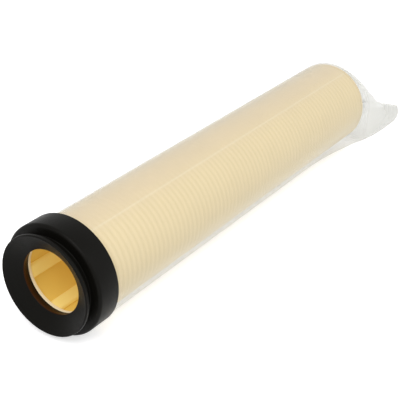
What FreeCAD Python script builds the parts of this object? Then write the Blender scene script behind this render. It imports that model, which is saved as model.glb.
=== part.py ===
import FreeCAD, Part
import math
import os
import re

import Sketcher

# Water filter element lying on its side: a ribbed filter mesh on a moulded cage, with a rubber
# sealing collar at the inlet end and a clear film sleeve drawn over it.
# Frame: millimetres, Z up, the element's axis along +Y.
# The origin is on the axis, in the plane of the sealing lip's front edge.

# Driving dimensions
SIZES = {
    # rubber collar
    "collar_diameter": 45.0,
    "collar_setback": 4.9,
    "collar_length": 10.3,
    "collar_chamfer": 0.8,
    "lip_diameter": 40.6,
    "lip_edge": 1.5,
    "lip_chamfer": 0.4,
    "lip_backset": 1.6,
    "dish_depth": 4.1,
    "mouth_diameter": 26.0,
    "mouth_land": 1.2,
    "mouth_depth": 3.4,
    "neck_diameter": 36.0,
    # support cage
    "head_bore": 28.2,
    "head_ring": 1.5,
    "head_lead": 0.4,
    "cage_diameter": 38.0,
    "cage_wall": 2.0,
    "bar_width": 5.4,
    "bar_depth": 2.1,
    "bar_count": 6,
    "bar_angle": 14.0,
    "window_width": 11.0,
    "window_count": 3,
    "front_wall": 26.0,
    "hoop_width": 6.0,
    "seat_gap": 0.05,
    # filter mesh
    "mesh_wall": 1.05,
    "mesh_length": 198.8,
    "ridge_pitch": 16.5,
    "ridge_width": 3.0,
    "ridge_height": 0.25,
    # end cap
    "cap_thickness": 3.2,
    "cap_chamfer": 2.0,
    "plug_length": 4.0,
    "plug_gap": 0.1,
    # film sleeve
    "film_wall": 0.25,
    "film_gap": 0.2,
    "fold_height": 0.1,
    "crease_stand": 1.4,
    "crease_angle": 45.0,
    "crease_reach": 18.6,
    "settle_start": 165.0,
    "settle_end": 262.0,
    "tail_length": 67.5,
    "tail_pinch": 0.8,
    "tail_gather": 0.5,
    "tail_skew": 0.27,
    "near_drop": 38.0,
    "far_drop": 63.0,
    "drop_spread": 21.0,
    "corner_length": 26.0,
    "corner_cut": 8.0,
}

TUBE_SPANS = 2
TAIL_SPANS = 6
STEPS_PER_SIDE = 14

# Places along the axis and radii that several pieces share, as expressions on the sheet
COLLAR_REAR = "(collar_setback + collar_length)"
HEAD_FRONT = "(dish_depth + mouth_depth)"
CAGE_FRONT = f"({HEAD_FRONT} + seat_gap)"
MESH_END = f"({COLLAR_REAR} + mesh_length)"
CAGE_INSIDE = "(cage_diameter / 2 - cage_wall)"
BAR_INSIDE = f"({CAGE_INSIDE} - bar_depth)"
SEAT_RADIUS = "(cage_diameter / 2 + seat_gap)"
MESH_RADIUS = f"({SEAT_RADIUS} + mesh_wall)"
ELEMENT_END = f"({MESH_END} + seat_gap + cap_thickness)"
FILM_RADIUS = f"({MESH_RADIUS} + film_gap + film_wall)"
TAIL_START = f"({ELEMENT_END} - cap_chamfer / 2)"
FILM_END = f"({TAIL_START} + tail_length)"

doc = FreeCAD.newDocument("WaterFilterElement")
sheet = doc.addObject("Spreadsheet::Sheet", "Sizes")
for row, (alias, value) in enumerate(SIZES.items(), start=1):
    sheet.set(f"A{row}", alias)
    sheet.set(f"B{row}", str(value))
    sheet.setAlias(f"B{row}", alias)
doc.recompute()


def size(expression):
    """The number that an expression on the sheet gives."""
    return float(sheet.evalExpression(expression))


def linked(expression):
    """The same expression as another object of the document has to write it."""
    return re.sub(r"[a-z]+(_[a-z]+)+", lambda word: f"Sizes.{word.group()}", expression)


def new_body(label):
    """An empty body whose label is the node's name."""
    body = doc.addObject("PartDesign::Body", label)
    body.Label = label
    return body


def new_sketch(body, name):
    """A sketch on the body's XY plane: x is the radius, y the place along the axis."""
    sketch = body.newObject("Sketcher::SketchObject", name)
    plane = next(item for item in body.Origin.OriginFeatures if item.Role == "XY_Plane")
    sketch.AttachmentSupport = [(plane, "")]
    sketch.MapMode = "FlatFace"
    return sketch


def draw_outline(sketch, corners):
    """Add a closed outline whose corners are pairs of expressions on the sheet."""
    first = sketch.GeometryCount
    places = [FreeCAD.Vector(size(across), size(along), 0) for across, along in corners]
    count = len(places)
    for index, place in enumerate(places):
        sketch.addGeometry(Part.LineSegment(place, places[(index + 1) % count]), False)
    for index in range(count):
        following = first + (index + 1) % count
        joined = Sketcher.Constraint("Coincident", first + index, 2, following, 1)
        sketch.addConstraint(joined)
    for index, (across, along) in enumerate(corners):
        bind_corner(sketch, first + index, "DistanceX", across, places[index].x)
        bind_corner(sketch, first + index, "DistanceY", along, places[index].y)


def bind_corner(sketch, line, direction, expression, value):
    """Tie one coordinate of a line's start to its expression."""
    number = sketch.addConstraint(Sketcher.Constraint(direction, -1, 1, line, 1, value))
    sketch.setExpression(f"Constraints[{number}]", linked(expression))


def revolve(body, name, corners):
    """Turn an outline once round the element's axis."""
    sketch = new_sketch(body, f"{name}_outline")
    draw_outline(sketch, corners)
    turned = body.newObject("PartDesign::Revolution", name)
    turned.Profile = sketch
    turned.ReferenceAxis = (sketch, ["V_Axis"])
    turned.Angle = 360.0
    return turned


def repeat_round_axis(body, feature, name):
    """Repeat a feature evenly round the axis, once for each bar of the cage."""
    pattern = body.newObject("PartDesign::PolarPattern", name)
    pattern.Originals = [feature]
    pattern.Axis = (feature.Profile[0], ["V_Axis"])
    pattern.Angle = 360.0
    pattern.setExpression("Occurrences", linked("bar_count"))
    body.Tip = pattern
    return pattern


def make_sealing_collar():
    """Rubber collar: dished lip with the mouth, groove behind it and wide band."""
    body = new_body("sealing_collar")
    revolve(body, "collar_ring", [
        ("lip_diameter / 2 - lip_chamfer", "0"),
        ("lip_diameter / 2", "lip_chamfer"),
        ("lip_diameter / 2", "lip_edge"),
        ("neck_diameter / 2", "lip_edge + lip_backset"),
        ("neck_diameter / 2", "collar_setback"),
        ("collar_diameter / 2 - collar_chamfer", "collar_setback"),
        ("collar_diameter / 2", "collar_setback + collar_chamfer"),
        ("collar_diameter / 2", COLLAR_REAR),
        (SEAT_RADIUS, COLLAR_REAR),
        (SEAT_RADIUS, HEAD_FRONT),
        ("head_bore / 2", HEAD_FRONT),
        ("mouth_diameter / 2", "dish_depth + mouth_land"),
        ("mouth_diameter / 2", "dish_depth"),
    ])
    return body


def make_support_cage():
    """Moulded cage: ring at its head, wall with windows and bars along the inside."""
    body = new_body("support_cage")
    shell = revolve(body, "cage_shell", [
        ("head_bore / 2 + head_lead", CAGE_FRONT),
        ("cage_diameter / 2", CAGE_FRONT),
        ("cage_diameter / 2", MESH_END),
        (CAGE_INSIDE, MESH_END),
        (CAGE_INSIDE, f"{CAGE_FRONT} + head_ring"),
        ("head_bore / 2", f"{CAGE_FRONT} + head_ring"),
        ("head_bore / 2", f"{CAGE_FRONT} + head_lead"),
    ])
    doc.recompute()
    solid_wall = shell.Shape.Volume
    cut_windows(body)
    doc.recompute()
    if body.Shape.Volume > 0.95 * solid_wall:
        raise ValueError("the windows of the cage don't cut its wall")
    add_bars(body)
    body.Placement = FreeCAD.Placement(
        FreeCAD.Vector(0, 0, 0), FreeCAD.Rotation(FreeCAD.Vector(0, -1, 0), 1.0))
    body.setExpression("Placement.Rotation.Angle", linked("bar_angle"))
    return body


def cut_windows(body):
    """A row of windows along the wall, repeated between the bars."""
    length = "((mesh_length - front_wall) / window_count - hoop_width)"
    sketch = new_sketch(body, "window_outline")
    for index in range(int(size("window_count"))):
        start = f"({COLLAR_REAR} + front_wall + {index} * ({length} + hoop_width))"
        draw_outline(sketch, [
            ("-window_width / 2", start),
            ("window_width / 2", start),
            ("window_width / 2", f"{start} + {length}"),
            ("-window_width / 2", f"{start} + {length}"),
        ])
    pocket = body.newObject("PartDesign::Pocket", "window_row")
    pocket.Profile = sketch
    pocket.Reversed = True
    pocket.setExpression("Length", linked("cage_diameter"))
    repeat_round_axis(body, pocket, "window_rows")


def add_bars(body):
    """Bars along the inside of the wall, half way between the windows."""
    sketch = new_sketch(body, "bar_outline")
    middle_of_wall = "cage_diameter / 2 - cage_wall / 2"
    start = f"{CAGE_FRONT} + head_ring / 2"
    draw_outline(sketch, [
        (BAR_INSIDE, start),
        (middle_of_wall, start),
        (middle_of_wall, MESH_END),
        (BAR_INSIDE, MESH_END),
    ])
    bar = body.newObject("PartDesign::Pad", "bar")
    bar.Profile = sketch
    bar.SideType = "Symmetric"
    bar.setExpression("Length", linked("bar_width"))
    repeat_round_axis(body, bar, "bars")


def make_filter_mesh():
    """Filter mesh over the cage, its wall raised in a ridge at every pitch."""
    inside = size(SEAT_RADIUS)
    crest = size(MESH_RADIUS)
    wall = crest - size("ridge_height")
    front = size(f"{COLLAR_REAR} + seat_gap")
    length = size("mesh_length - seat_gap")
    foot = size("ridge_width / 2")
    ridges = round(length / size("ridge_pitch"))
    profile = [FreeCAD.Vector(inside, front, 0), FreeCAD.Vector(wall, front, 0)]
    for ridge in range(ridges):
        middle = front + length * (ridge + 0.5) / ridges
        for radius, along in ((wall, middle - foot), (crest, middle), (wall, middle + foot)):
            profile.append(FreeCAD.Vector(radius, along, 0))
    profile += [FreeCAD.Vector(wall, front + length, 0), FreeCAD.Vector(inside, front + length, 0)]
    face = Part.Face(Part.makePolygon(profile + profile[:1]))
    axis = FreeCAD.Vector(0, 1, 0)
    return new_feature("filter_mesh", face.revolve(FreeCAD.Vector(), axis, 360.0))


def make_end_cap():
    """Cap over the far end of mesh and cage, with a plug that fits between the bars."""
    body = new_body("end_cap")
    plug_outside = f"({BAR_INSIDE} - plug_gap)"
    revolve(body, "cap_disc", [
        ("0", f"{MESH_END} - plug_length"),
        (plug_outside, f"{MESH_END} - plug_length"),
        (plug_outside, f"{MESH_END} + seat_gap"),
        (MESH_RADIUS, f"{MESH_END} + seat_gap"),
        (MESH_RADIUS, f"{ELEMENT_END} - cap_chamfer"),
        (f"{MESH_RADIUS} - cap_chamfer", ELEMENT_END),
        ("0", ELEMENT_END),
    ])
    return body


def new_feature(label, shape):
    """A plain feature that holds a finished shape under the node's name."""
    feature = doc.addObject("Part::Feature", label)
    feature.Label = label
    feature.Shape = shape
    feature.Placement = FreeCAD.Placement()
    return feature


def floor_height():
    """Height of the floor, which the collar's band stands on."""
    return -size("collar_diameter / 2")


def crease_at(along):
    """Place of the film's sharp crease, which settles on the floor towards the far end."""
    start, end = size("settle_start"), size("settle_end")
    part = min(1.0, max(0.0, (along - start) / (end - start)))
    settled = 0.5 - 0.5 * math.cos(math.pi * part)
    stand = size(f"{FILM_RADIUS} + crease_stand")
    angle = math.radians(size("crease_angle"))
    across, height = stand * math.cos(angle), -stand * math.sin(angle)
    across += settled * (size("crease_reach") - across)
    height += settled * (floor_height() - height)
    past = max(0.0, along - size(f"{FILM_END} - corner_length")) / size("corner_length")
    return across - size("corner_cut") * past ** 2, height


def wrap_sizes(radius, crease):
    """Straight run to a round body and half the turn round it, for a film with a crease."""
    reach = math.hypot(*crease)
    return math.sqrt(reach ** 2 - radius ** 2), math.pi - math.acos(radius / reach)


def snug_point(radius, crease, walked, way):
    """Point of a film drawn round a circle, by the length walked from its crease."""
    straight, half_turn = wrap_sizes(radius, crease)
    touch = math.atan2(crease[1], crease[0]) + way * (math.pi - half_turn)
    angle = touch + way * max(0.0, walked - straight) / radius
    part = min(1.0, walked / straight)
    return tuple(start + part * (radius * turned(angle) - start)
                 for start, turned in zip(crease, (math.cos, math.sin)))


def film_point(radius, along, share, inset, upper):
    """Point of one side of the film's skin, by share of the way from crease to back."""
    edge, height = crease_at(along)
    crease = (edge - 2 * inset, height + inset)
    straight, half_turn = wrap_sizes(radius, crease)
    walked = share * (straight + radius * half_turn)
    spread = min(1.0, walked / size("drop_spread"))
    drop = size("near_drop") + spread * size("far_drop - near_drop")
    flatness = min(1.0, max(0.0, (along - size(TAIL_START)) / drop))
    snug = snug_point(radius, crease, walked, 1 if upper else -1)
    gathered = size("tail_gather") * walked
    across = snug[0] + flatness * (crease[0] - gathered - snug[0])
    flat_height = floor_height() + inset
    fold = 0.0
    if upper:
        flat_height += size("tail_pinch") * math.sin(math.pi * share)
        wall_of_fold = size("fold_height") + (0.0 if inset else 2 * size("film_wall"))
        fold = wall_of_fold * max(1 - walked / straight, flatness * (1 - share))
    towards_tip = max(0.0, along - size(TAIL_START)) / size("tail_length")
    along -= size("tail_skew") * towards_tip * gathered
    return FreeCAD.Vector(across, along, snug[1] + flatness * (flat_height - snug[1]) + fold)


def skin_wire(radius, along, inset):
    """Closed outline of the film's skin at one place on the axis."""
    shares = [step / STEPS_PER_SIDE for step in range(STEPS_PER_SIDE + 1)]
    upper = [film_point(radius, along, share, inset, True) for share in shares]
    lower = [film_point(radius, along, share, inset, False) for share in shares[:-1]]
    outline = upper + lower[::-1]
    return Part.makePolygon(outline + outline[:1])


def skin_solid(inset):
    """Solid inside the film's outer skin, or inside a skin that lies deeper by inset."""
    radius = size(FILM_RADIUS) - inset
    front = size(f"{COLLAR_REAR} + film_gap") - inset
    settle = size("settle_start")
    tail = size(TAIL_START)
    tip = size(FILM_END) + inset
    places = [front]
    places += [settle + (tail - settle) * step / TUBE_SPANS for step in range(TUBE_SPANS)]
    places += [tail + (tip - tail) * step / TAIL_SPANS for step in range(TAIL_SPANS + 1)]
    return Part.makeLoft([skin_wire(radius, along, inset) for along in places], True, True)


def make_film_sleeve():
    """Clear film: a tube round the element whose open end is gathered flat on the floor."""
    return new_feature("film_sleeve", skin_solid(0.0).cut(skin_solid(size("film_wall"))))


def check_and_write(pieces):
    """Stop on a failed object or a bad shape, then write each piece to its file."""
    doc.recompute()
    for item in doc.Objects:
        if "Invalid" in item.State or "Error" in item.State:
            raise ValueError(f"{item.Name} failed: {item.State}")
    for piece in pieces:
        shape = piece.Shape
        if shape.isNull() or not shape.isValid() or len(shape.Solids) != 1:
            raise ValueError(f"{piece.Label} isn't one valid solid")
        print(f"{piece.Label}: {shape.Volume / 1000:.2f} cm3, box {shape.BoundBox}")
    os.makedirs("parts", exist_ok=True)
    for piece in pieces:
        piece.Shape.exportStep(f"parts/{piece.Label}.step")


check_and_write([
    make_sealing_collar(),
    make_support_cage(),
    make_filter_mesh(),
    make_end_cap(),
    make_film_sleeve(),
])
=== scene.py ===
"""Dressed model of a water filter element, lying on a pale studio floor."""
import logging
import math
from dataclasses import dataclass
from enum import Enum
from functools import cached_property
from typing import Optional, Sequence

import bmesh
import bpy
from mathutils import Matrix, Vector, noise


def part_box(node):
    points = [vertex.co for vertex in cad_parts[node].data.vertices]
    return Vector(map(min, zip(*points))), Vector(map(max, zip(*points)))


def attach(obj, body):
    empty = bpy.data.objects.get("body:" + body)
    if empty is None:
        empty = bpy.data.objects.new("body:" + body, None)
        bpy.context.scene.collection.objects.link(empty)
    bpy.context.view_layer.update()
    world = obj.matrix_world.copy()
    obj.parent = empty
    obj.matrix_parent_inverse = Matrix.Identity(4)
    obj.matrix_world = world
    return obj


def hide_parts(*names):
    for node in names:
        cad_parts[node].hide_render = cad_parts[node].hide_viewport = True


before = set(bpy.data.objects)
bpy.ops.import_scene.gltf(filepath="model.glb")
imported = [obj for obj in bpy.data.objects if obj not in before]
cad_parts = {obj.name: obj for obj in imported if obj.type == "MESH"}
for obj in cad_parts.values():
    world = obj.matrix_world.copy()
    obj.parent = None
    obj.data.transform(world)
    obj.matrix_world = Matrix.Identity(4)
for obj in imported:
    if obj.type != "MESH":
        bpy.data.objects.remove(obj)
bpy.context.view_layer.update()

LOG = logging.getLogger("filter_element")

MM = 0.001
MERGE_DISTANCE = 1e-7
SMOOTH_ANGLE = 30.0
ROUND_SPANS = 144
RAIL_EDGE_SPANS = 4
HOOP_EDGE_SPANS = 3
CHORD_SHARE = 0.99

Point = tuple[float, float, float]
Colour = tuple[float, float, float]


class Body(Enum):
    """Bodies of the frame that pieces ride on."""

    ROOT = "root"


class Slot(Enum):
    """Material slots of the record."""

    COLLAR = "collar_rubber"
    CAGE = "cage_plastic"
    MESH = "mesh_fabric"
    CAP = "cap_plastic"
    FILM = "clear_film"


def srgb(red: int, green: int, blue: int) -> Colour:
    """Linear colour of a screen colour.

    Args:
        red: Red, 0 to 255.
        green: Green, 0 to 255.
        blue: Blue, 0 to 255.

    Returns:
        The linear red, green and blue.
    """
    def linear(part: int) -> float:
        share = part / 255
        return share / 12.92 if share <= 0.04045 else ((share + 0.055) / 1.055) ** 2.4

    return (linear(red), linear(green), linear(blue))


def smooth(part: float) -> float:
    """Ease a share of the way, so that it starts and ends softly."""
    return 0.5 - 0.5 * math.cos(math.pi * min(1.0, max(0.0, part)))


class NodeBoard:
    """Short way to add and join nodes in one node tree."""

    def __init__(self, tree: bpy.types.NodeTree) -> None:
        """Keep the tree that the nodes go into."""
        self.tree = tree

    def add(self, kind: str, inputs: Optional[dict] = None, **settings: object) -> bpy.types.Node:
        """Add one node.

        Args:
            kind: The node's type name.
            inputs: Input name or number to a plain value or to another node's output.
            settings: Properties of the node itself.

        Returns:
            The new node.
        """
        node = self.tree.nodes.new(kind)
        for name, value in settings.items():
            setattr(node, name, value)
        for name, value in (inputs or {}).items():
            self.feed(node.inputs[name], value)
        return node

    def feed(self, socket: bpy.types.NodeSocket, value: object) -> None:
        """Give one input a plain value or another node's output.

        Args:
            socket: The input.
            value: The value or the output.
        """
        if isinstance(value, bpy.types.NodeSocket):
            self.tree.links.new(value, socket)
        else:
            socket.default_value = value

    def math(self, operation: str, first: object, second: object = 0.0,
             third: object = 0.0) -> bpy.types.NodeSocket:
        """Add a math node, which both kinds of tree have.

        Args:
            operation: The operation's name.
            first: First value or socket.
            second: Second value or socket.
            third: Third value or socket.

        Returns:
            The result's socket.
        """
        inputs = {0: first, 1: second, 2: third}
        return self.add("ShaderNodeMath", inputs, operation=operation).outputs[0]

    def blend(self, share: object, first: object, second: object) -> bpy.types.NodeSocket:
        """Mix two colours.

        Args:
            share: 0 for the first, 1 for the second.
            first: First colour or socket.
            second: Second colour or socket.

        Returns:
            The mixed colour's socket.
        """
        def full(colour: object) -> object:
            return (*colour, 1.0) if isinstance(colour, tuple) else colour

        inputs = {"Factor": share, "A": full(first), "B": full(second)}
        sockets = self.add("ShaderNodeMix", data_type="RGBA")
        for name, value in inputs.items():
            chosen = next(item for item in sockets.inputs if item.name == name and item.enabled)
            self.feed(chosen, value)
        return next(item for item in sockets.outputs if item.enabled)


def new_shader_group(name: str, inputs: Sequence[tuple], outputs: Sequence[tuple]) -> NodeBoard:
    """Start a shader group with named sockets.

    Args:
        name: The group's name.
        inputs: Name, socket type and default value of each input.
        outputs: Name and socket type of each output.

    Returns:
        A board on the new group.
    """
    group = bpy.data.node_groups.new(name, "ShaderNodeTree")
    for label, kind, value in inputs:
        socket = group.interface.new_socket(name=label, in_out="INPUT", socket_type=kind)
        socket.default_value = value
    for label, kind in outputs:
        group.interface.new_socket(name=label, in_out="OUTPUT", socket_type=kind)
    return NodeBoard(group)


def grain_group() -> bpy.types.NodeTree:
    """Fine grain of a moulded or drawn surface: a soft mask and a height.

    Returns:
        The group, built once.
    """
    name = "surface_grain"
    if name in bpy.data.node_groups:
        return bpy.data.node_groups[name]
    board = new_shader_group(
        name,
        [("Scale", "NodeSocketFloat", 900.0), ("Patch Scale", "NodeSocketFloat", 60.0)],
        [("Mask", "NodeSocketFloat"), ("Height", "NodeSocketFloat")])
    given = board.add("NodeGroupInput")
    place = board.add("ShaderNodeTexCoord").outputs["Object"]
    patch = board.add("ShaderNodeTexNoise", {
        "Vector": place, "Scale": given.outputs["Patch Scale"], "Detail": 3.0, "Roughness": 0.55})
    fine = board.add("ShaderNodeTexNoise", {
        "Vector": place, "Scale": given.outputs["Scale"], "Detail": 2.0, "Roughness": 0.6})
    board.add("NodeGroupOutput", {"Mask": patch.outputs[0], "Height": fine.outputs[0]})
    return board.tree


def tube_place_group() -> bpy.types.NodeTree:
    """Place on a tube along Y: its angle from +X towards +Z, its radius and its length.

    Returns:
        The group, built once.
    """
    name = "place_on_tube"
    if name in bpy.data.node_groups:
        return bpy.data.node_groups[name]
    board = new_shader_group(name, [], [
        ("Angle", "NodeSocketFloat"), ("Radius", "NodeSocketFloat"), ("Along", "NodeSocketFloat")])
    place = board.add("ShaderNodeTexCoord").outputs["Object"]
    parts = board.add("ShaderNodeSeparateXYZ", {0: place}).outputs
    flat = board.add("ShaderNodeCombineXYZ", {0: parts["X"], 2: parts["Z"]}).outputs[0]
    radius = board.add("ShaderNodeVectorMath", {0: flat}, operation="LENGTH").outputs["Value"]
    angle = board.math("ARCTAN2", parts["Z"], parts["X"])
    board.add("NodeGroupOutput", {"Angle": angle, "Radius": radius, "Along": parts["Y"]})
    return board.tree


def tube_place(board: NodeBoard) -> bpy.types.NodeOutputs:
    """Add the shared place on the tube to a tree."""
    return board.add("ShaderNodeGroup", node_tree=tube_place_group()).outputs


def weave_group() -> bpy.types.NodeTree:
    """Fine woven threads that follow a tube along Y: a thread mask and a height.

    Returns:
        The group, built once.
    """
    name = "tube_weave"
    if name in bpy.data.node_groups:
        return bpy.data.node_groups[name]
    board = new_shader_group(
        name,
        [("Tube Radius", "NodeSocketFloat", 0.02), ("Pitch", "NodeSocketFloat", 0.0005)],
        [("Mask", "NodeSocketFloat"), ("Height", "NodeSocketFloat")])
    given = board.add("NodeGroupInput").outputs
    place = tube_place(board)
    rounds = board.math("DIVIDE", math.tau, given["Pitch"])
    around = board.math("MULTIPLY", place["Angle"], given["Tube Radius"])
    across = board.math("SINE", board.math("MULTIPLY", around, rounds))
    along = board.math("SINE", board.math("MULTIPLY", place["Along"], rounds))
    mask = board.math("MULTIPLY_ADD", board.math("MULTIPLY", across, along), 0.5, 0.5)
    board.add("NodeGroupOutput", {"Mask": mask, "Height": mask})
    return board.tree


@dataclass(frozen=True)
class Finish:
    """What every finish of the element has in common."""

    name: str
    colour: Colour
    roughness: float
    patch_depth: float = 0.06
    bump: float = 0.1
    grain_scale: float = 900.0
    patch_scale: float = 60.0
    specular: float = 0.5
    rough_spread: float = 0.16
    relief: float = 0.2 * MM

    def material(self) -> bpy.types.Material:
        """Make the material, with its nodes in place."""
        made = bpy.data.materials.new(self.name)
        made.use_nodes = True
        made.node_tree.nodes.clear()
        board = NodeBoard(made.node_tree)
        shader = board.add("ShaderNodeBsdfPrincipled", {"Specular IOR Level": self.specular})
        board.add("ShaderNodeOutputMaterial", {"Surface": shader.outputs[0]})
        self.fill(board, shader)
        return made

    def grain(self, board: NodeBoard) -> bpy.types.NodeOutputs:
        """Add the shared grain at this finish's scales."""
        node = board.add("ShaderNodeGroup", node_tree=grain_group())
        node.inputs["Scale"].default_value = self.grain_scale
        node.inputs["Patch Scale"].default_value = self.patch_scale
        return node.outputs

    def fill(self, board: NodeBoard, shader: bpy.types.Node) -> None:
        """Set the shader's inputs.

        Args:
            board: Board on the material's tree.
            shader: The Principled shader.
        """
        grain = self.grain(board)
        dark = tuple(part * (1 - self.patch_depth) for part in self.colour)
        light = tuple(min(1.0, part * (1 + self.patch_depth)) for part in self.colour)
        board.feed(shader.inputs["Base Color"], board.blend(grain["Mask"], dark, light))
        self.surface(board, shader, grain["Mask"], grain["Height"])

    def tinted(self, board: NodeBoard, mask: bpy.types.NodeSocket,
               colour: bpy.types.NodeSocket) -> bpy.types.NodeSocket:
        """Vary a colour's brightness softly from place to place.

        Args:
            board: Board on the material's tree.
            mask: What the brightness follows.
            colour: The colour.

        Returns:
            The varied colour's socket.
        """
        patch = board.math("MULTIPLY_ADD", mask, self.patch_depth * 2, 1 - self.patch_depth)
        tint = board.add("ShaderNodeVectorMath", {0: colour, 1: patch}, operation="MULTIPLY")
        return tint.outputs[0]

    def surface(self, board: NodeBoard, shader: bpy.types.Node, mask: bpy.types.NodeSocket,
                height: bpy.types.NodeSocket) -> None:
        """Set the shader's roughness and bump.

        Args:
            board: Board on the material's tree.
            shader: The Principled shader.
            mask: What varies the roughness.
            height: What the bump follows.
        """
        smoothest = self.roughness - self.rough_spread / 2
        rough = board.math("MULTIPLY_ADD", mask, self.rough_spread, smoothest)
        board.feed(shader.inputs["Roughness"], rough)
        bump = board.add("ShaderNodeBump", {
            "Height": height, "Strength": self.bump, "Distance": self.relief})
        board.feed(shader.inputs["Normal"], bump.outputs[0])


@dataclass(frozen=True)
class MouldedRubber(Finish):
    """Black rubber, with a painted warm glow near the mouth for the light that leaves it."""

    glow: Colour = (0.22, 0.06, 0.01)
    glow_strength: float = 0.3
    glow_radius: float = 14.0 * MM
    glow_spread: float = 2.0 * MM
    glow_start: float = 4.0 * MM

    def fill(self, board: NodeBoard, shader: bpy.types.Node) -> None:
        """Set the shader's inputs, with a painted warm glow near the mouth.

        Args:
            board: Board on the material's tree.
            shader: The Principled shader.
        """
        super().fill(board, shader)
        place = tube_place(board)
        away = board.math("SUBTRACT", place["Radius"], self.glow_radius - self.glow_spread)
        near = board.math("SUBTRACT", 1.0, board.math("DIVIDE", away, self.glow_spread))
        deep = board.math("GREATER_THAN", place["Along"], self.glow_start)
        share = board.math("MULTIPLY", board.math("MAXIMUM", near, 0.0), deep)
        # Painted glow: emission on the rubber round the mouth stands in for warm light from inside
        # the element.
        shader.inputs["Emission Color"].default_value = (*self.glow, 1)
        board.feed(shader.inputs["Emission Strength"],
                   board.math("MULTIPLY", share, self.glow_strength))


@dataclass(frozen=True)
class LitPlastic(Finish):
    """Translucent plastic with a painted warm glow where light comes through the wall behind it."""

    rim_colour: Colour = (0.9, 0.8, 0.6)
    rim_end: float = 9.2 * MM
    bar_radius: float = 16.9 * MM
    bar_highlight_colour: Colour = (0.8, 0.5, 0.15)
    glow_strength: float = 0.2

    def fill(self, board: NodeBoard, shader: bpy.types.Node) -> None:
        """Set the shader's inputs: pale rim, bars painted paler where they catch light, and a wall
        painted amber for the light that comes through it.

        Args:
            board: Board on the material's tree.
            shader: The Principled shader.
        """
        grain = self.grain(board)
        place = tube_place(board)
        raised = board.math("LESS_THAN", place["Radius"], self.bar_radius)
        front = board.math("LESS_THAN", place["Along"], self.rim_end)
        # Painted light: the amber wall colour and its emission stand in for light through the wall;
        # the bars' paler colour is a painted highlight.
        wall = board.blend(raised, self.colour, self.bar_highlight_colour)
        tone = board.blend(front, wall, self.rim_colour)
        tint = self.tinted(board, grain["Mask"], tone)
        board.feed(shader.inputs["Base Color"], tint)
        board.feed(shader.inputs["Emission Color"], tint)
        lit = board.math("MULTIPLY_ADD", front, -self.glow_strength, self.glow_strength)
        board.feed(shader.inputs["Emission Strength"], lit)
        self.surface(board, shader, grain["Mask"], grain["Height"])


@dataclass(frozen=True)
class MeshFabric(Finish):
    """Fine woven filter mesh, cream, with painted shade on one side and in its faint rings, a painted
    highlight line along it, and a painted amber glow inside.
    """

    painted_shade_colour: Colour = (0.7, 0.5, 0.35)
    ring_groove_shade_colour: Colour = (0.6, 0.5, 0.3)
    highlight_line_colour: Colour = (0.86, 0.78, 0.6)
    ring_pitch: float = 2.75 * MM
    ring_start: float = 15.3 * MM
    ring_shade_depth: float = 0.35
    highlight_line_angle: float = 63.0
    highlight_line_sharpness: float = 30.0
    highlight_line_depth: float = 0.35
    painted_shade_rate: float = 2.2
    painted_shade_rounding: float = 0.1
    ring_fade_in_shade: float = 0.7
    inside_glow_colour: Colour = (0.8, 0.45, 0.08)
    inside_radius: float = 19.5 * MM
    inside_glow: float = 0.2

    def fill(self, board: NodeBoard, shader: bpy.types.Node) -> None:
        """Set the shader's inputs from the place on the tube.

        Args:
            board: Board on the material's tree.
            shader: The Principled shader.
        """
        grain = self.grain(board)
        weave = board.add("ShaderNodeGroup", node_tree=weave_group()).outputs
        place = tube_place(board)
        outside = board.math("GREATER_THAN", place["Radius"], self.inside_radius)
        phase = board.math("DIVIDE", board.math("SUBTRACT", place["Along"], self.ring_start),
                           self.ring_pitch)
        wave = board.math("COSINE", board.math("MULTIPLY", phase, math.tau))
        past = board.math("SUBTRACT", place["Angle"], math.radians(self.highlight_line_angle))
        # Painted shade: past the highlight line's angle the cream darkens to the painted shade colour
        # and the rings fade.
        upper = board.math("SMOOTH_MIN", 1.0, board.math("MAXIMUM", board.math(
            "MULTIPLY_ADD", past, self.painted_shade_rate, 0.5), 0.0), self.painted_shade_rounding)
        faint = board.math("MULTIPLY_ADD", upper, -self.ring_fade_in_shade, 1.0)
        # Painted shade in the ring grooves, fainter on the painted-shade side.
        groove = board.math("MULTIPLY", board.math("MULTIPLY_ADD", wave, 0.5, 0.5), faint)
        cream_with_painted_shade = board.blend(upper, self.colour, self.painted_shade_colour)
        ring_shade_share = board.math("MULTIPLY", groove, self.ring_shade_depth)
        ringed = board.blend(ring_shade_share, cream_with_painted_shade, self.ring_groove_shade_colour)
        # Painted highlight: a pale line along the tube at the highlight line's angle.
        highlight_line = board.math("MULTIPLY_ADD", board.math("ABSOLUTE", past), -self.highlight_line_sharpness, 1.0)
        highlight_line_share = board.math("MULTIPLY", board.math("MAXIMUM", highlight_line, 0.0), self.highlight_line_depth)
        with_highlight_line = board.blend(highlight_line_share, ringed, self.highlight_line_colour)
        # Painted glow: inside the mesh the amber colour and its emission stand in for light coming
        # through the wall.
        side = board.blend(outside, self.inside_glow_colour, with_highlight_line)
        board.feed(shader.inputs["Base Color"], self.tinted(board, grain["Mask"], side))
        shader.inputs["Emission Color"].default_value = (*self.inside_glow_colour, 1)
        board.feed(shader.inputs["Emission Strength"], board.math(
            "MULTIPLY_ADD", outside, -self.inside_glow, self.inside_glow))
        self.surface(board, shader, weave["Mask"], weave["Height"])


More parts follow.
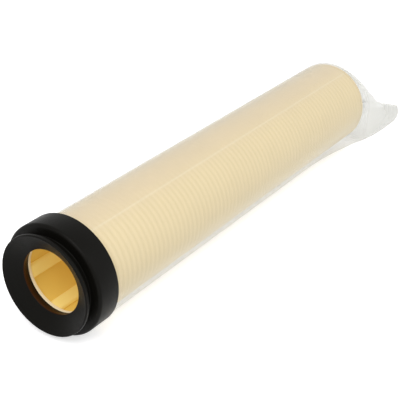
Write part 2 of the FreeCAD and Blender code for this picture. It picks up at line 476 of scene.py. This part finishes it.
@dataclass(frozen=True)
class ClearFilm(Finish):
    """Clear, slightly milky film, denser where it is seen edge on and in its pleats."""

    clear: float = 0.05
    edge: float = 0.5
    steepness: float = 4.0
    tail_start: float = 216.0 * MM
    tail_cover: float = 0.2
    tail_run: float = 12.0 * MM

    def fill(self, board: NodeBoard, shader: bpy.types.Node) -> None:
        """Set the shader's inputs, and how much of what is behind the film shows.

        Args:
            board: Board on the material's tree.
            shader: The Principled shader.
        """
        super().fill(board, shader)
        facing = board.add("ShaderNodeLayerWeight", {"Blend": 0.5}).outputs["Facing"]
        steep = board.math("POWER", facing, self.steepness)
        cover = board.math("MULTIPLY_ADD", steep, self.edge, self.clear)
        place = tube_place(board)
        run = board.math("DIVIDE", board.math(
            "SUBTRACT", place["Along"], self.tail_start), self.tail_run)
        loose = board.math("MINIMUM", board.math("MAXIMUM", run, 0.0), 1.0)
        full = board.math("MULTIPLY_ADD", loose, self.tail_cover, cover)
        board.feed(shader.inputs["Alpha"], board.math("MINIMUM", full, 1.0))


def finish_piece(piece: bpy.types.Object, slot: Slot, *nodes: str) -> bpy.types.Object:
    """Put a finished piece in the frame.

    Args:
        piece: The finished object.
        slot: The record's material slot; not used.
        nodes: The frame's nodes that the piece stands for.

    Returns:
        The same object.
    """
    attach(piece, Body.ROOT.value)
    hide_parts(*nodes)
    LOG.info("%s: %d faces", piece.name, len(piece.data.polygons))
    return piece


def mesh_object(name: str, points: Sequence[Point], faces: Sequence[Sequence[int]],
                material: bpy.types.Material, crease_angle: float = SMOOTH_ANGLE) -> bpy.types.Object:
    """Make a smooth-shaded object from points and faces.

    Args:
        name: The object's name.
        points: Vertex places in metres.
        faces: Vertex numbers of each face.
        material: Its material.
        crease_angle: Edges that bend by more degrees than this stay sharp.

    Returns:
        The new object.
    """
    mesh = bpy.data.meshes.new(name)
    mesh.from_pydata(points, [], faces)
    shape = bmesh.new()
    shape.from_mesh(mesh)
    bmesh.ops.remove_doubles(shape, verts=shape.verts, dist=MERGE_DISTANCE)
    bmesh.ops.recalc_face_normals(shape, faces=shape.faces)
    shape.to_mesh(mesh)
    shape.free()
    mesh.materials.append(material)
    shade(mesh, crease_angle)
    made = bpy.data.objects.new(name, mesh)
    bpy.context.scene.collection.objects.link(made)
    return made


def shade(mesh: bpy.types.Mesh, crease_angle: float) -> None:
    """Shade a mesh smooth, with sharp edges past an angle.

    Args:
        mesh: The mesh.
        crease_angle: The angle in degrees.
    """
    mesh.shade_smooth()
    mesh.set_sharp_from_angle(angle=math.radians(crease_angle))


@dataclass(frozen=True)
class Corner:
    """A corner of a turned profile: radius, place along the axis and rounding."""

    across: float
    along: float
    rounding: float = 0.0


def rounded_profile(corners: Sequence[Corner], steps: int = 6) -> list[tuple[float, float]]:
    """Points of a closed profile with its corners rounded.

    Args:
        corners: The corners in order.
        steps: Spans of each rounding.

    Returns:
        Radius and place of each point.
    """
    points: list[tuple[float, float]] = []
    count = len(corners)
    for index, corner in enumerate(corners):
        here = Vector((corner.across, corner.along))
        if corner.rounding <= 0:
            points.append((here.x, here.y))
            continue
        before = corners[index - 1]
        after = corners[(index + 1) % count]
        back = (Vector((before.across, before.along)) - here).normalized()
        ahead = (Vector((after.across, after.along)) - here).normalized()
        half = back.angle(ahead) / 2
        reach = corner.rounding / math.tan(half)
        centre = here + (back + ahead).normalized() * (corner.rounding / math.sin(half))
        start = here + back * reach - centre
        end = here + ahead * reach - centre
        turn = start.angle_signed(end)
        for step in range(steps + 1):
            angle = -turn * step / steps
            arm = Vector((start.x * math.cos(angle) - start.y * math.sin(angle),
                          start.x * math.sin(angle) + start.y * math.cos(angle)))
            points.append((centre.x + arm.x, centre.y + arm.y))
    return points


def turned(name: str, profile: Sequence[tuple[float, float]], material: bpy.types.Material,
           segments: int = 192) -> bpy.types.Object:
    """Turn a closed profile round the Y axis.

    Args:
        name: The object's name.
        profile: Radius and place of each point.
        material: Its material.
        segments: Spans round the axis.

    Returns:
        The new object.
    """
    points: list[Point] = []
    faces: list[list[int]] = []
    count = len(profile)
    for step in range(segments):
        angle = math.tau * step / segments
        points.extend((radius * math.cos(angle), along, radius * math.sin(angle))
                      for radius, along in profile)
    for step in range(segments):
        here = step * count
        there = ((step + 1) % segments) * count
        for index in range(count):
            following = (index + 1) % count
            if profile[index][0] == 0 and profile[following][0] == 0:
                continue
            faces.append([here + index, here + following, there + following, there + index])
    return mesh_object(name, points, faces, material)


def new_geometry_tree(name: str, floats: Sequence[str], whole: Sequence[str]) -> NodeBoard:
    """Start a geometry node tree with named inputs and one geometry output.

    Args:
        name: The tree's name.
        floats: Names of its number inputs.
        whole: Names of its whole-number inputs.

    Returns:
        A board on the new tree.
    """
    tree = bpy.data.node_groups.new(name, "GeometryNodeTree")
    tree.interface.new_socket(name="Geometry", in_out="OUTPUT",
                              socket_type="NodeSocketGeometry")
    kinds = [(label, "NodeSocketFloat") for label in floats]
    kinds += [(label, "NodeSocketInt") for label in whole]
    for label, kind in [*kinds, ("Material", "NodeSocketMaterial")]:
        tree.interface.new_socket(name=label, in_out="INPUT", socket_type=kind)
    return NodeBoard(tree)


def close_tree(board: NodeBoard, given: bpy.types.NodeOutputs,
               *parts: bpy.types.NodeSocket) -> None:
    """End a geometry node tree: join its parts, make them real and give them the material.

    Args:
        board: Board on the tree.
        given: The tree's inputs.
        parts: Sockets with the geometry.
    """
    joined = board.add("GeometryNodeJoinGeometry")
    for part in parts:
        board.feed(joined.inputs[0], part)
    real = board.add("GeometryNodeRealizeInstances", {"Geometry": joined.outputs[0]})
    coated = board.add("GeometryNodeSetMaterial", {
        "Geometry": real.outputs[0], "Material": given["Material"]})
    board.add("NodeGroupOutput", {0: coated.outputs[0]})


def grown(name: str, tree: bpy.types.NodeTree, inputs: dict[str, object],
          crease_angle: float = SMOOTH_ANGLE) -> bpy.types.Object:
    """Run a geometry node tree once and keep its result as a plain mesh.

    Args:
        name: Name of the new object.
        tree: The node tree.
        inputs: Value of each of the tree's named inputs.
        crease_angle: Edges that bend by more degrees than this stay sharp.

    Returns:
        An object with the plain mesh.
    """
    seed = bpy.data.objects.new(f"{name}_seed", bpy.data.meshes.new(f"{name}_seed"))
    bpy.context.scene.collection.objects.link(seed)
    modifier = seed.modifiers.new("tree", "NODES")
    modifier.node_group = tree
    for item in tree.interface.items_tree:
        if item.item_type == "SOCKET" and item.in_out == "INPUT" and item.name in inputs:
            modifier[item.identifier] = inputs[item.name]
    bpy.context.view_layer.update()
    ready = seed.evaluated_get(bpy.context.evaluated_depsgraph_get())
    mesh = bpy.data.meshes.new_from_object(ready)
    mesh.name = name
    bpy.data.objects.remove(seed)
    shade(mesh, crease_angle)
    made = bpy.data.objects.new(name, mesh)
    bpy.context.scene.collection.objects.link(made)
    return made


def thicken(piece: bpy.types.Object, wall: float) -> None:
    """Give an open skin a wall on its inner side, and keep the result in its mesh.

    Args:
        piece: The object.
        wall: The wall's thickness.
    """
    modifier = piece.modifiers.new("wall", "SOLIDIFY")
    modifier.thickness = wall
    modifier.offset = -1.0
    bpy.context.view_layer.update()
    ready = piece.evaluated_get(bpy.context.evaluated_depsgraph_get())
    mesh = bpy.data.meshes.new_from_object(ready)
    piece.modifiers.remove(modifier)
    old = piece.data
    name = old.name
    piece.data = mesh
    bpy.data.meshes.remove(old)
    mesh.name = name
    shade(mesh, SMOOTH_ANGLE)


@dataclass
class SealingCollar:
    """Rubber collar with its dished lip."""

    lip_radius: float = 20.28 * MM
    lip_edge: float = 1.5 * MM
    lip_back: float = 3.1 * MM
    face_radius: float = 19.87 * MM
    dish_depth: float = 4.1 * MM
    mouth_radius: float = 13.0 * MM
    head_radius: float = 14.1 * MM
    neck_radius: float = 18.0 * MM
    shoulder: float = 4.9 * MM
    seat_radius: float = 19.05 * MM
    seat: float = 7.5 * MM

    def build(self) -> bpy.types.Object:
        """Build and dress the collar."""
        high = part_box("sealing_collar")[1]
        radius = high.x
        rear = high.y
        finish = MouldedRubber("moulded_rubber", srgb(14, 13, 10), 0.4, patch_depth=0.14,
                               bump=0.25, grain_scale=2600.0, patch_scale=90.0,
                               specular=0.07)
        corners = [
            Corner(self.face_radius, 0.0, 0.15 * MM),
            Corner(self.lip_radius, 0.4 * MM, 0.25 * MM),
            Corner(self.lip_radius, self.lip_edge, 0.3 * MM),
            Corner(self.neck_radius, self.lip_back, 0.5 * MM),
            Corner(self.neck_radius, self.shoulder, 0.3 * MM),
            Corner(radius, self.shoulder, 1.2 * MM),
            Corner(radius, rear, 0.25 * MM),
            Corner(self.seat_radius, rear),
            Corner(self.seat_radius, self.seat),
            Corner(self.head_radius, self.seat, 0.2 * MM),
            Corner(self.mouth_radius, self.dish_depth, 0.3 * MM),
        ]
        piece = turned("collar_moulding", rounded_profile(corners), finish.material())
        return finish_piece(piece, Slot.COLLAR, "sealing_collar")


@dataclass
class SupportCage:
    """Moulded cage: rim at its head, staves along the inside, solid front wall and hoops."""

    bore_radius: float = 14.1 * MM
    ring: float = 1.5 * MM
    wall: float = 2.0 * MM
    front_wall_end: float = 41.2 * MM
    bar_depth: float = 2.1 * MM
    bar_width: float = 5.4 * MM
    bar_count: int = 6
    bar_angle: float = 14.0
    stave_width: float = 8.9 * MM
    hoop_count: int = 3
    hoop_pitch: float = 57.6 * MM
    hoop_width: float = 6.0 * MM
    rounding: float = 0.35 * MM
    bar_rounding: float = 0.9 * MM

    def build(self) -> bpy.types.Object:
        """Build and dress the cage."""
        low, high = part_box("support_cage")
        outside, end = high.x, high.y
        inside = outside - self.wall
        # The amber colour is painted light coming through the cage wall, and the bar colour is a
        # painted highlight.
        finish = LitPlastic(
            "cage_moulding", srgb(230, 200, 104), 0.5, patch_depth=0.05,
            rim_colour=srgb(252, 240, 208), bar_highlight_colour=srgb(247, 226, 142),
            bar_radius=inside - 0.25 * self.bar_depth, glow_strength=0.14)
        material = finish.material()
        corners = [
            Corner(self.bore_radius, low.y, 0.4 * MM),
            Corner(outside, low.y, 0.3 * MM),
            Corner(outside, self.front_wall_end, 0.2 * MM),
            Corner(inside, self.front_wall_end, 0.2 * MM),
            Corner(inside, low.y + self.ring, 0.4 * MM),
            Corner(self.bore_radius, low.y + self.ring, 0.3 * MM),
        ]
        piece = turned("cage_moulding", rounded_profile(corners, 4), material, ROUND_SPANS)
        sizes = {
            "Start": low.y + self.ring / 2, "End": end, "Inside": inside, "Outside": outside,
            "Bar Depth": self.bar_depth, "Bar Width": self.bar_width,
            "Bar Angle": math.radians(self.bar_angle), "Bar Rounding": self.bar_rounding,
            "Stave Width": self.stave_width,
            "Stave Start": self.front_wall_end - self.wall, "Hoop Width": self.hoop_width,
            "Hoop Pitch": self.hoop_pitch, "Rounding": self.rounding,
        }
        counts = {"Bars": self.bar_count, "Hoops": self.hoop_count}
        board = new_geometry_tree("cage_lattice", list(sizes), list(counts))
        given = board.add("NodeGroupInput").outputs
        close_tree(board, given, self.staves(board, given), self.hoops(board, given))
        lattice = grown("cage_lattice", board.tree, {**sizes, **counts, "Material": material})
        with bpy.context.temp_override(active_object=piece,
                                       selected_editable_objects=[piece, lattice]):
            bpy.ops.object.join()
        return finish_piece(piece, Slot.CAGE, "support_cage")

    @staticmethod
    def rail(board: NodeBoard, given: bpy.types.NodeOutputs, inner: bpy.types.NodeSocket,
             outer: bpy.types.NodeSocket, width: bpy.types.NodeSocket,
             start: bpy.types.NodeSocket,
             rounding: bpy.types.NodeSocket) -> bpy.types.NodeSocket:
        """One rail with rounded edges along the axis, on the +X side.

        Args:
            board: Board on the tree.
            given: The tree's inputs.
            inner: Its inner distance from the axis.
            outer: Its outer distance from the axis.
            width: Its width.
            start: Where it starts along the axis.
            rounding: Radius of its edges.

        Returns:
            The socket with the rail.
        """
        section = board.add("GeometryNodeCurvePrimitiveQuadrilateral", {
            "Width": board.math("SUBTRACT", outer, inner), "Height": width})
        soft = board.add("GeometryNodeFilletCurve", {
            "Curve": section.outputs[0], "Count": RAIL_EDGE_SPANS,
            "Radius": rounding}, mode="POLY")
        middle = board.math("MULTIPLY", board.math("ADD", inner, outer), 0.5)
        ends = [board.add("ShaderNodeCombineXYZ", {0: middle, 1: along}).outputs[0]
                for along in (start, given["End"])]
        path = board.add("GeometryNodeCurvePrimitiveLine", {"Start": ends[0], "End": ends[1]})
        rail = board.add("GeometryNodeCurveToMesh", {
            "Curve": path.outputs[0], "Profile Curve": soft.outputs[0], "Fill Caps": True})
        return rail.outputs[0]

    @classmethod
    def staves(cls, board: NodeBoard, given: bpy.types.NodeOutputs) -> bpy.types.NodeSocket:
        """A bar and the strip of wall behind it, set round the axis for each bar.

        Args:
            board: Board on the tree.
            given: The tree's inputs.

        Returns:
            The socket with the staves.
        """
        crown = board.math("SUBTRACT", given["Inside"], given["Bar Depth"])
        core = board.math("MULTIPLY", board.math("ADD", given["Inside"], given["Outside"]), 0.5)
        bar = cls.rail(board, given, crown, core, given["Bar Width"], given["Start"],
                       given["Bar Rounding"])
        chord = board.math("MULTIPLY", given["Outside"], CHORD_SHARE)
        strip = cls.rail(board, given, given["Inside"], chord, given["Stave Width"],
                         given["Stave Start"], given["Rounding"])
        stave = board.add("GeometryNodeJoinGeometry")
        for part in (bar, strip):
            board.feed(stave.inputs[0], part)
        spots = board.add("GeometryNodePoints", {"Count": given["Bars"]})
        index = board.add("GeometryNodeInputIndex").outputs[0]
        step = board.math("DIVIDE", -math.tau, given["Bars"])
        angle = board.math("SUBTRACT", board.math("MULTIPLY", index, step), given["Bar Angle"])
        turn = board.add("ShaderNodeCombineXYZ", {1: angle})
        placed = board.add("GeometryNodeInstanceOnPoints", {
            "Points": spots.outputs[0], "Instance": stave.outputs[0],
            "Rotation": turn.outputs[0]})
        return placed.outputs[0]

    @staticmethod
    def hoops(board: NodeBoard, given: bpy.types.NodeOutputs) -> bpy.types.NodeSocket:
        """One hoop of the wall, repeated evenly from the far end back.

        Args:
            board: Board on the tree.
            given: The tree's inputs.

        Returns:
            The socket with the hoops.
        """
        wall = board.math("SUBTRACT", given["Outside"], given["Inside"])
        middle = board.math("MULTIPLY", board.math("ADD", given["Outside"], given["Inside"]), 0.5)
        path = board.add("GeometryNodeCurvePrimitiveCircle", {
            "Resolution": ROUND_SPANS, "Radius": middle})
        section = board.add("GeometryNodeCurvePrimitiveQuadrilateral", {
            "Width": wall, "Height": given["Hoop Width"]})
        soft = board.add("GeometryNodeFilletCurve", {
            "Curve": section.outputs[0], "Count": HOOP_EDGE_SPANS,
            "Radius": given["Rounding"]}, mode="POLY")
        ring = board.add("GeometryNodeCurveToMesh", {
            "Curve": path.outputs["Curve"], "Profile Curve": soft.outputs[0]})
        upright = board.add("GeometryNodeTransform", {
            "Geometry": ring.outputs[0], "Rotation": (math.pi / 2, 0.0, 0.0)})
        half = board.math("MULTIPLY", given["Hoop Width"], 0.5)
        last = board.add("ShaderNodeCombineXYZ", {1: board.math("SUBTRACT", given["End"], half)})
        step = board.add("ShaderNodeCombineXYZ", {
            1: board.math("MULTIPLY", given["Hoop Pitch"], -1.0)})
        line = board.add("GeometryNodeMeshLine", {
            "Count": given["Hoops"], "Start Location": last.outputs[0],
            "Offset": step.outputs[0]}, mode="OFFSET")
        placed = board.add("GeometryNodeInstanceOnPoints", {
            "Points": line.outputs[0], "Instance": upright.outputs[0]})
        return placed.outputs[0]


@dataclass
class FilterMesh:
    """Filter mesh drawn over the cage, with fine rings from end to end."""

    ring_pitch: float = 2.75 * MM
    ring_height: float = 0.07 * MM
    wall: float = 0.8 * MM
    steps_per_ring: int = 4
    spans_around: int = ROUND_SPANS
    ease: float = 0.01 * MM

    def build(self) -> bpy.types.Object:
        """Build and dress the mesh."""
        low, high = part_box("filter_mesh")
        length = high.y - low.y
        rings = round(length / self.ring_pitch)
        # The mesh's finish paints shade on one side and in the ring grooves, a highlight line along
        # the tube, and an amber glow inside.
        finish = MeshFabric(
            "woven_filter_mesh", srgb(232, 213, 169), 0.66, patch_depth=0.03, bump=0.2,
            relief=0.05 * MM,
            painted_shade_colour=srgb(226, 206, 168), ring_groove_shade_colour=srgb(212, 193, 140),
            ring_pitch=length / rings, ring_start=low.y, inside_glow_colour=srgb(230, 196, 100),
            inside_radius=high.x - self.ring_height - self.wall / 2)
        board = self.ringed_tube()
        piece = grown("ringed_filter_mesh", board.tree, {
            "Radius": high.x - self.ease, "Length": length, "Start": low.y, "Rings": rings,
            "Ring Height": self.ring_height, "Steps": rings * self.steps_per_ring,
            "Around": self.spans_around, "Material": finish.material()})
        thicken(piece, self.wall)
        return finish_piece(piece, Slot.MESH, "filter_mesh")

    @staticmethod
    def ringed_tube() -> NodeBoard:
        """Node tree of a tube along Y whose radius rises and falls over the rings."""
        board = new_geometry_tree("ringed_tube", ("Radius", "Length", "Start", "Ring Height"),
                                  ("Rings", "Steps", "Around"))
        given = board.add("NodeGroupInput").outputs
        tube = board.add("GeometryNodeMeshCylinder", {
            "Vertices": given["Around"], "Side Segments": given["Steps"],
            "Radius": given["Radius"], "Depth": given["Length"]}, fill_type="NONE")
        place = board.add("GeometryNodeInputPosition").outputs[0]
        parts = board.add("ShaderNodeSeparateXYZ", {0: place}).outputs
        share = board.math("ADD", board.math("DIVIDE", parts["Z"], given["Length"]), 0.5)
        turns = board.math("MULTIPLY", share, given["Rings"])
        wave = board.math("COSINE", board.math("MULTIPLY", turns, math.tau))
        sink = board.math("MULTIPLY", board.math("MULTIPLY_ADD", wave, 0.5, 0.5),
                          given["Ring Height"])
        radius = board.math("SUBTRACT", given["Radius"], sink)
        ratio = board.math("DIVIDE", radius, given["Radius"])
        along = board.math("MULTIPLY_ADD", share, given["Length"], given["Start"])
        lift = board.math("MULTIPLY", board.math("MULTIPLY", parts["Y"], ratio), -1.0)
        spot = board.add("ShaderNodeCombineXYZ", {
            0: board.math("MULTIPLY", parts["X"], ratio), 1: along, 2: lift})
        shaped = board.add("GeometryNodeSetPosition", {
            "Geometry": tube.outputs["Mesh"], "Position": spot.outputs[0]})
        close_tree(board, given, shaped.outputs[0])
        return board


@dataclass
class EndCap:
    """Cap over the far end."""

    plug_radius: float = 14.75 * MM
    rim_rounding: float = 2.6 * MM
    seat: float = 214.05 * MM

    def build(self) -> bpy.types.Object:
        """Build and dress the cap."""
        low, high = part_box("end_cap")
        finish = Finish("cap_moulding", srgb(229, 209, 165), 0.6, patch_depth=0.03)
        corners = [
            Corner(0.0, low.y),
            Corner(self.plug_radius, low.y, 0.4 * MM),
            Corner(self.plug_radius, self.seat),
            Corner(high.x, self.seat),
            Corner(high.x, high.y, self.rim_rounding),
            Corner(0.0, high.y),
        ]
        piece = turned("cap_moulding", rounded_profile(corners, 8), finish.material(),
                       ROUND_SPANS)
        return finish_piece(piece, Slot.CAP, "end_cap")


@dataclass
class FilmSleeve:
    """Clear film tube over the element, gathered flat on the floor past its end."""

    wall: float = 0.1 * MM
    radius: float = 20.5 * MM
    fold_height: float = 0.35 * MM
    crease_stand: float = 1.4 * MM
    crease_angle: float = -45.0
    crease_reach: float = 18.5 * MM
    settle_start: float = 165.0 * MM
    settle_end: float = 262.0 * MM
    tail_start: float = 216.3 * MM
    tail_end: float = 283.6 * MM
    tail_gather: float = 0.5
    tail_skew: float = 0.27
    tail_pinch: float = 0.9 * MM
    near_drop: float = 38.0 * MM
    far_drop: float = 63.0 * MM
    drop_spread: float = 21.0 * MM
    drop_ease: float = 1.2
    corner_length: float = 26.0 * MM
    corner_cut: float = 8.0 * MM
    pleat_height: float = 0.5 * MM
    pleat_width: float = 6.0 * MM
    pleat_start: float = 0.6
    drift_rate_along: float = 30.0
    drift_rate_across: float = 40.0
    drift_share: float = 0.8
    fold_angle: float = 50.0
    spans_per_side: int = 80
    rows_tube: int = 70
    rows_tail: int = 90
    seed: Point = (3.1, 7.7, 1.9)

    def build(self) -> bpy.types.Object:
        """Build and dress the film."""
        finish = ClearFilm("clear_film", srgb(246, 246, 240), 0.25, patch_depth=0.02, bump=0.1,
                           grain_scale=160.0, patch_scale=25.0)
        piece = mesh_object("film_tube", *self.skin(), finish.material(), self.fold_angle)
        thicken(piece, self.wall)
        for vertex in piece.data.vertices:
            vertex.co.z = max(vertex.co.z, self.floor)
        finish_piece(piece, Slot.FILM, "film_sleeve")
        straight, half_turn = self.wrap(self.crease(self.front))
        return piece

    @cached_property
    def floor(self) -> float:
        """Height of the floor, which the collar's band stands on."""
        return -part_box("sealing_collar")[1].x

    @cached_property
    def front(self) -> float:
        """Where the film starts, behind the collar."""
        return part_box("film_sleeve")[0].y

    def skin(self) -> tuple[list[Point], list[list[int]]]:
        """Outer skin of the film, row by row along the axis.

        Returns:
            Points and faces.
        """
        rows = [self.front + (self.tail_start - self.front) * step / self.rows_tube
                for step in range(self.rows_tube)]
        rows += [self.tail_start + (self.tail_end - self.tail_start) * step / self.rows_tail
                 for step in range(self.rows_tail + 1)]
        shares = [step / self.spans_per_side for step in range(self.spans_per_side + 1)]
        points: list[Point] = []
        for along in rows:
            points.extend(self.spot(along, share, True) for share in shares)
            points.extend(self.spot(along, share, False) for share in reversed(shares[:-1]))
        count = 2 * self.spans_per_side + 1
        faces: list[list[int]] = []
        for row in range(len(rows) - 1):
            for index in range(count):
                following = (index + 1) % count
                faces.append([row * count + index, row * count + following,
                              (row + 1) * count + following, (row + 1) * count + index])
        return points, faces

    def crease(self, along: float) -> Vector:
        """Place of the film's sharp crease, which settles on the floor towards the end."""
        part = smooth((along - self.settle_start) / (self.settle_end - self.settle_start))
        angle = math.radians(self.crease_angle)
        stand = self.radius + self.crease_stand
        snug = Vector((stand * math.cos(angle), stand * math.sin(angle)))
        place = snug.lerp(Vector((self.crease_reach, self.floor)), part)
        past = max(0.0, along - self.tail_end + self.corner_length) / self.corner_length
        place.x -= self.corner_cut * past ** 2
        return place

    def wrap(self, crease: Vector) -> tuple[float, float]:
        """Straight run from a crease to the round body, and half the turn round it."""
        reach = crease.length
        return math.sqrt(reach ** 2 - self.radius ** 2), math.pi - math.acos(self.radius / reach)

    def spot(self, along: float, share: float, upper: bool) -> Point:
        """Point of the film's outer skin.

        Args:
            along: The row's place on the axis.
            share: Share of the way from the crease to the back.
            upper: True on the side over the element, False on the side under it.

        Returns:
            The point.
        """
        crease = self.crease(along)
        straight, half_turn = self.wrap(crease)
        walked = share * (straight + self.radius * half_turn)
        way = 1 if upper else -1
        touch = math.atan2(crease.y, crease.x) + way * (math.pi - half_turn)
        angle = touch + way * max(0.0, walked - straight) / self.radius
        round_spot = Vector((math.cos(angle), math.sin(angle))) * self.radius
        snug = crease.lerp(round_spot, min(1.0, walked / straight))
        spread = min(1.0, walked / self.drop_spread)
        drop = self.near_drop + spread * (self.far_drop - self.near_drop)
        flatness = min(1.0, max(0.0, (along - self.tail_start) / drop))
        gathered = self.tail_gather * walked
        flat = Vector((crease.x - gathered, self.floor))
        if upper:
            flat.y += self.tail_pinch * math.sin(math.pi * share)
        place = snug.lerp(flat, flatness ** self.drop_ease)
        tail = max(0.0, along - self.tail_start) / (self.tail_end - self.tail_start)
        if upper:
            fold = self.fold_height * max(1 - walked / straight, flatness * (1 - share))
            place.y += max(fold, 0.0) + self.pleat(along, walked, tail)
        return (place.x, along - self.tail_skew * tail * gathered, place.y)

    def pleat(self, along: float, walked: float, tail: float) -> float:
        """Height of the soft pleats of the tail's upper side.

        Args:
            along: The row's place on the axis.
            walked: Length walked round the film from its crease.
            tail: Share of the way along the tail.

        Returns:
            The height, never below 0.
        """
        place = Vector((along * self.drift_rate_along, walked * self.drift_rate_across, 0))
        drift = self.drift_share * noise.noise(place + Vector(self.seed))
        wave = 0.5 + 0.5 * math.sin(math.tau * (walked / self.pleat_width + drift))
        edge = min(1.0, walked / self.pleat_width)
        return self.pleat_height * wave * smooth(tail / self.pleat_start) * edge


@dataclass(frozen=True)
class Lamp:
    """One soft square lamp: where it stands, its side and its power in watts."""

    name: str
    place: Point
    width: float
    watts: float

    def add(self, target: Point) -> None:
        """Add the lamp, aimed at a point.

        Args:
            target: What it is aimed at.
        """
        data = bpy.data.lights.new(self.name, "AREA")
        data.size = self.width
        data.energy = self.watts
        lamp = bpy.data.objects.new(self.name, data)
        lamp.location = self.place
        aim = Vector(target) - Vector(self.place)
        lamp.rotation_euler = aim.to_track_quat("-Z", "Y").to_euler()
        bpy.context.scene.collection.objects.link(lamp)


@dataclass
class Studio:
    """Floor, lamps, world and camera."""

    eye: Point = (0.21258, -0.21104, 0.18802)
    forward: Point = (-0.50185, 0.73170, -0.46127)
    lens: float = 87.93
    middle: Point = (0.0, 0.11, 0.0)
    lamps: tuple[Lamp, ...] = (Lamp("key", (0.25, -0.5, 0.9), 0.7, 6.2),
                               Lamp("fill", (0.9, 0.3, 0.6), 0.9, 2.8))
    floor_size: float = 4.0
    floor_gap: float = 0.1 * MM
    floor_tone: float = 0.86
    floor_glow: float = 0.6
    world_strength: float = 0.5

    def build(self) -> None:
        """Set up everything round the element."""
        self.add_floor()
        self.add_world()
        for lamp in self.lamps:
            lamp.add(self.middle)
        self.add_camera()

    @staticmethod
    def seen_directly(board: NodeBoard) -> bpy.types.NodeSocket:
        """1 for rays from the camera, for reflections and for what shows through."""
        path = board.add("ShaderNodeLightPath").outputs
        return board.math("MAXIMUM", path["Is Camera Ray"], board.math(
            "MAXIMUM", path["Is Glossy Ray"], path["Is Transmission Ray"]))

    def add_floor(self) -> None:
        """Pale floor under the element, white to the camera."""
        level = -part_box("sealing_collar")[1].x - self.floor_gap
        half = self.floor_size / 2
        mesh = bpy.data.meshes.new("floor")
        mesh.from_pydata([(-half, -half, level), (half, -half, level), (half, half, level),
                          (-half, half, level)], [], [[0, 1, 2, 3]])
        floor = bpy.data.objects.new("floor", mesh)
        bpy.context.scene.collection.objects.link(floor)
        material = bpy.data.materials.new("pale_floor")
        material.use_nodes = True
        material.node_tree.nodes.clear()
        board = NodeBoard(material.node_tree)
        matt = board.add("ShaderNodeBsdfDiffuse", {"Color": (*[self.floor_tone] * 3, 1)})
        glow = board.add("ShaderNodeEmission", {
            "Color": (1, 1, 1, 1), "Strength": self.floor_glow})
        both = board.add("ShaderNodeAddShader", {0: matt.outputs[0], 1: glow.outputs[0]})
        choice = board.add("ShaderNodeMixShader", {
            0: self.seen_directly(board), 1: matt.outputs[0], 2: both.outputs[0]})
        board.add("ShaderNodeOutputMaterial", {"Surface": choice.outputs[0]})
        mesh.materials.append(material)

    def add_world(self) -> None:
        """Even grey light, white to the camera."""
        world = bpy.data.worlds.new("studio")
        bpy.context.scene.world = world
        world.use_nodes = True
        world.node_tree.nodes.clear()
        board = NodeBoard(world.node_tree)
        strength = board.math("MULTIPLY_ADD", self.seen_directly(board),
                              1 - self.world_strength, self.world_strength)
        glow = board.add("ShaderNodeBackground", {"Color": (1, 1, 1, 1), "Strength": strength})
        board.add("ShaderNodeOutputWorld", {"Surface": glow.outputs[0]})

    def add_camera(self) -> None:
        """Camera at the photograph's viewing angle."""
        data = bpy.data.cameras.new("camera")
        data.lens = self.lens
        data.sensor_width = 36.0
        data.clip_start = 0.01
        camera = bpy.data.objects.new("camera", data)
        camera.location = self.eye
        camera.rotation_euler = Vector(self.forward).to_track_quat("-Z", "Y").to_euler()
        bpy.context.scene.collection.objects.link(camera)
        bpy.context.scene.camera = camera


def main() -> None:
    """Build the studio and every piece of the element."""
    logging.basicConfig(level=logging.INFO)
    bpy.context.scene.view_settings.view_transform = "Standard"
    Studio().build()
    for part in (SealingCollar(), SupportCage(), FilterMesh(), EndCap(), FilmSleeve()):
        part.build()


if __name__ == "__main__":
    main()
